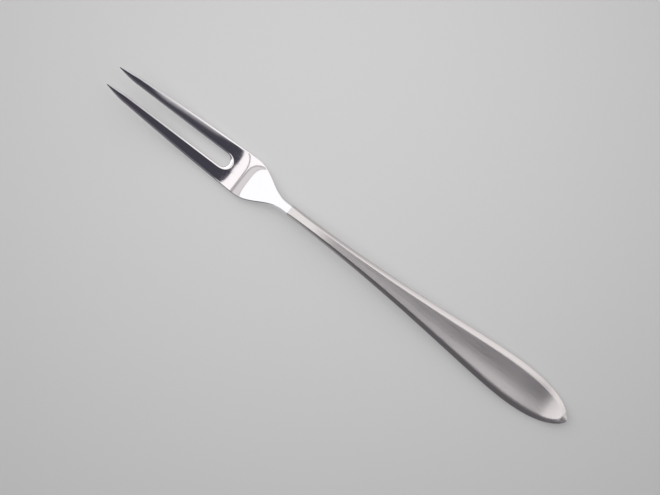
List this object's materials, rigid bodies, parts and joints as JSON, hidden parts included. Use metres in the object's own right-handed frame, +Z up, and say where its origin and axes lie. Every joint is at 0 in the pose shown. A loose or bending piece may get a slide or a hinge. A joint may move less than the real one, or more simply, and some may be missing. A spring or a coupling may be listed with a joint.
{
  "type": "flesh fork",
  "caption": "Slender two-tined fork for holding and serving meat, with a mirror-polished head brazed by a hidden tang into an arched satin handle with a dished, bevelled top.",
  "frame": {"origin": "on the table, under the middle of the fork's length and width", "axes": "+X from the handle's end towards the points of the tines, +Z up from the table, +Y to the left of a hand that points the tines away"},
  "size_m": [0.21, 0.016, 0.0128],
  "materials": {
    "polished_steel": "mirror-polished stainless steel",
    "satin_steel": "satin stainless steel, finely brushed along its length"
  },
  "bodies": {
    "root": {"fork_head": "polished_steel", "handle": "satin_steel"}
  },
  "joints": []
}
